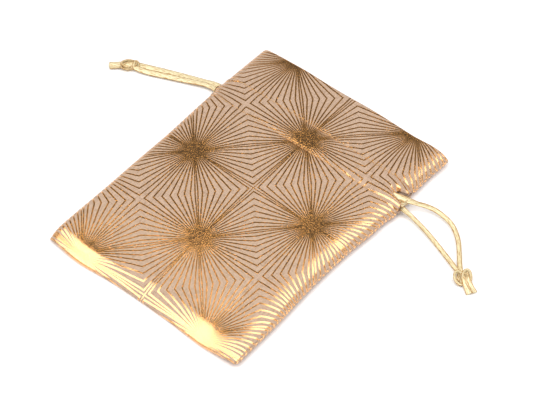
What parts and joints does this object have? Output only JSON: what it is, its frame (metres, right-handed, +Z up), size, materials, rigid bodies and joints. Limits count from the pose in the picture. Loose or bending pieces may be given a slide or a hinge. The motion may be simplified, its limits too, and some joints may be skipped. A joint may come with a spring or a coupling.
{
  "type": "drawstring gift pouch",
  "caption": "Flat cloth gift pouch with a folded mouth, a stitched casing and satin ribbon drawstrings knotted at both sides.",
  "frame": {"origin": "centre of the cloth's footprint, on the table under the flat back", "axes": "+X along the mouth edge, +Y from the bottom fold to the mouth, +Z up out of the front of the pouch lying on its back"},
  "size_m": [0.2385, 0.16, 0.0101],
  "materials": {
    "printed_cloth": "linen-look woven cloth, pinkish beige, printed with thin lines of gold foil",
    "thread": "tan sewing thread",
    "satin_ribbon": "pale gold satin ribbon"
  },
  "bodies": {
    "root": {"pouch_cloth": "printed_cloth", "casing_stitch_front_upper": "thread", "casing_stitch_back_upper": "thread", "casing_stitch_front_lower": "thread", "casing_stitch_back_lower": "thread", "drawstring_left": "satin_ribbon", "drawstring_right": "satin_ribbon"}
  },
  "joints": []
}
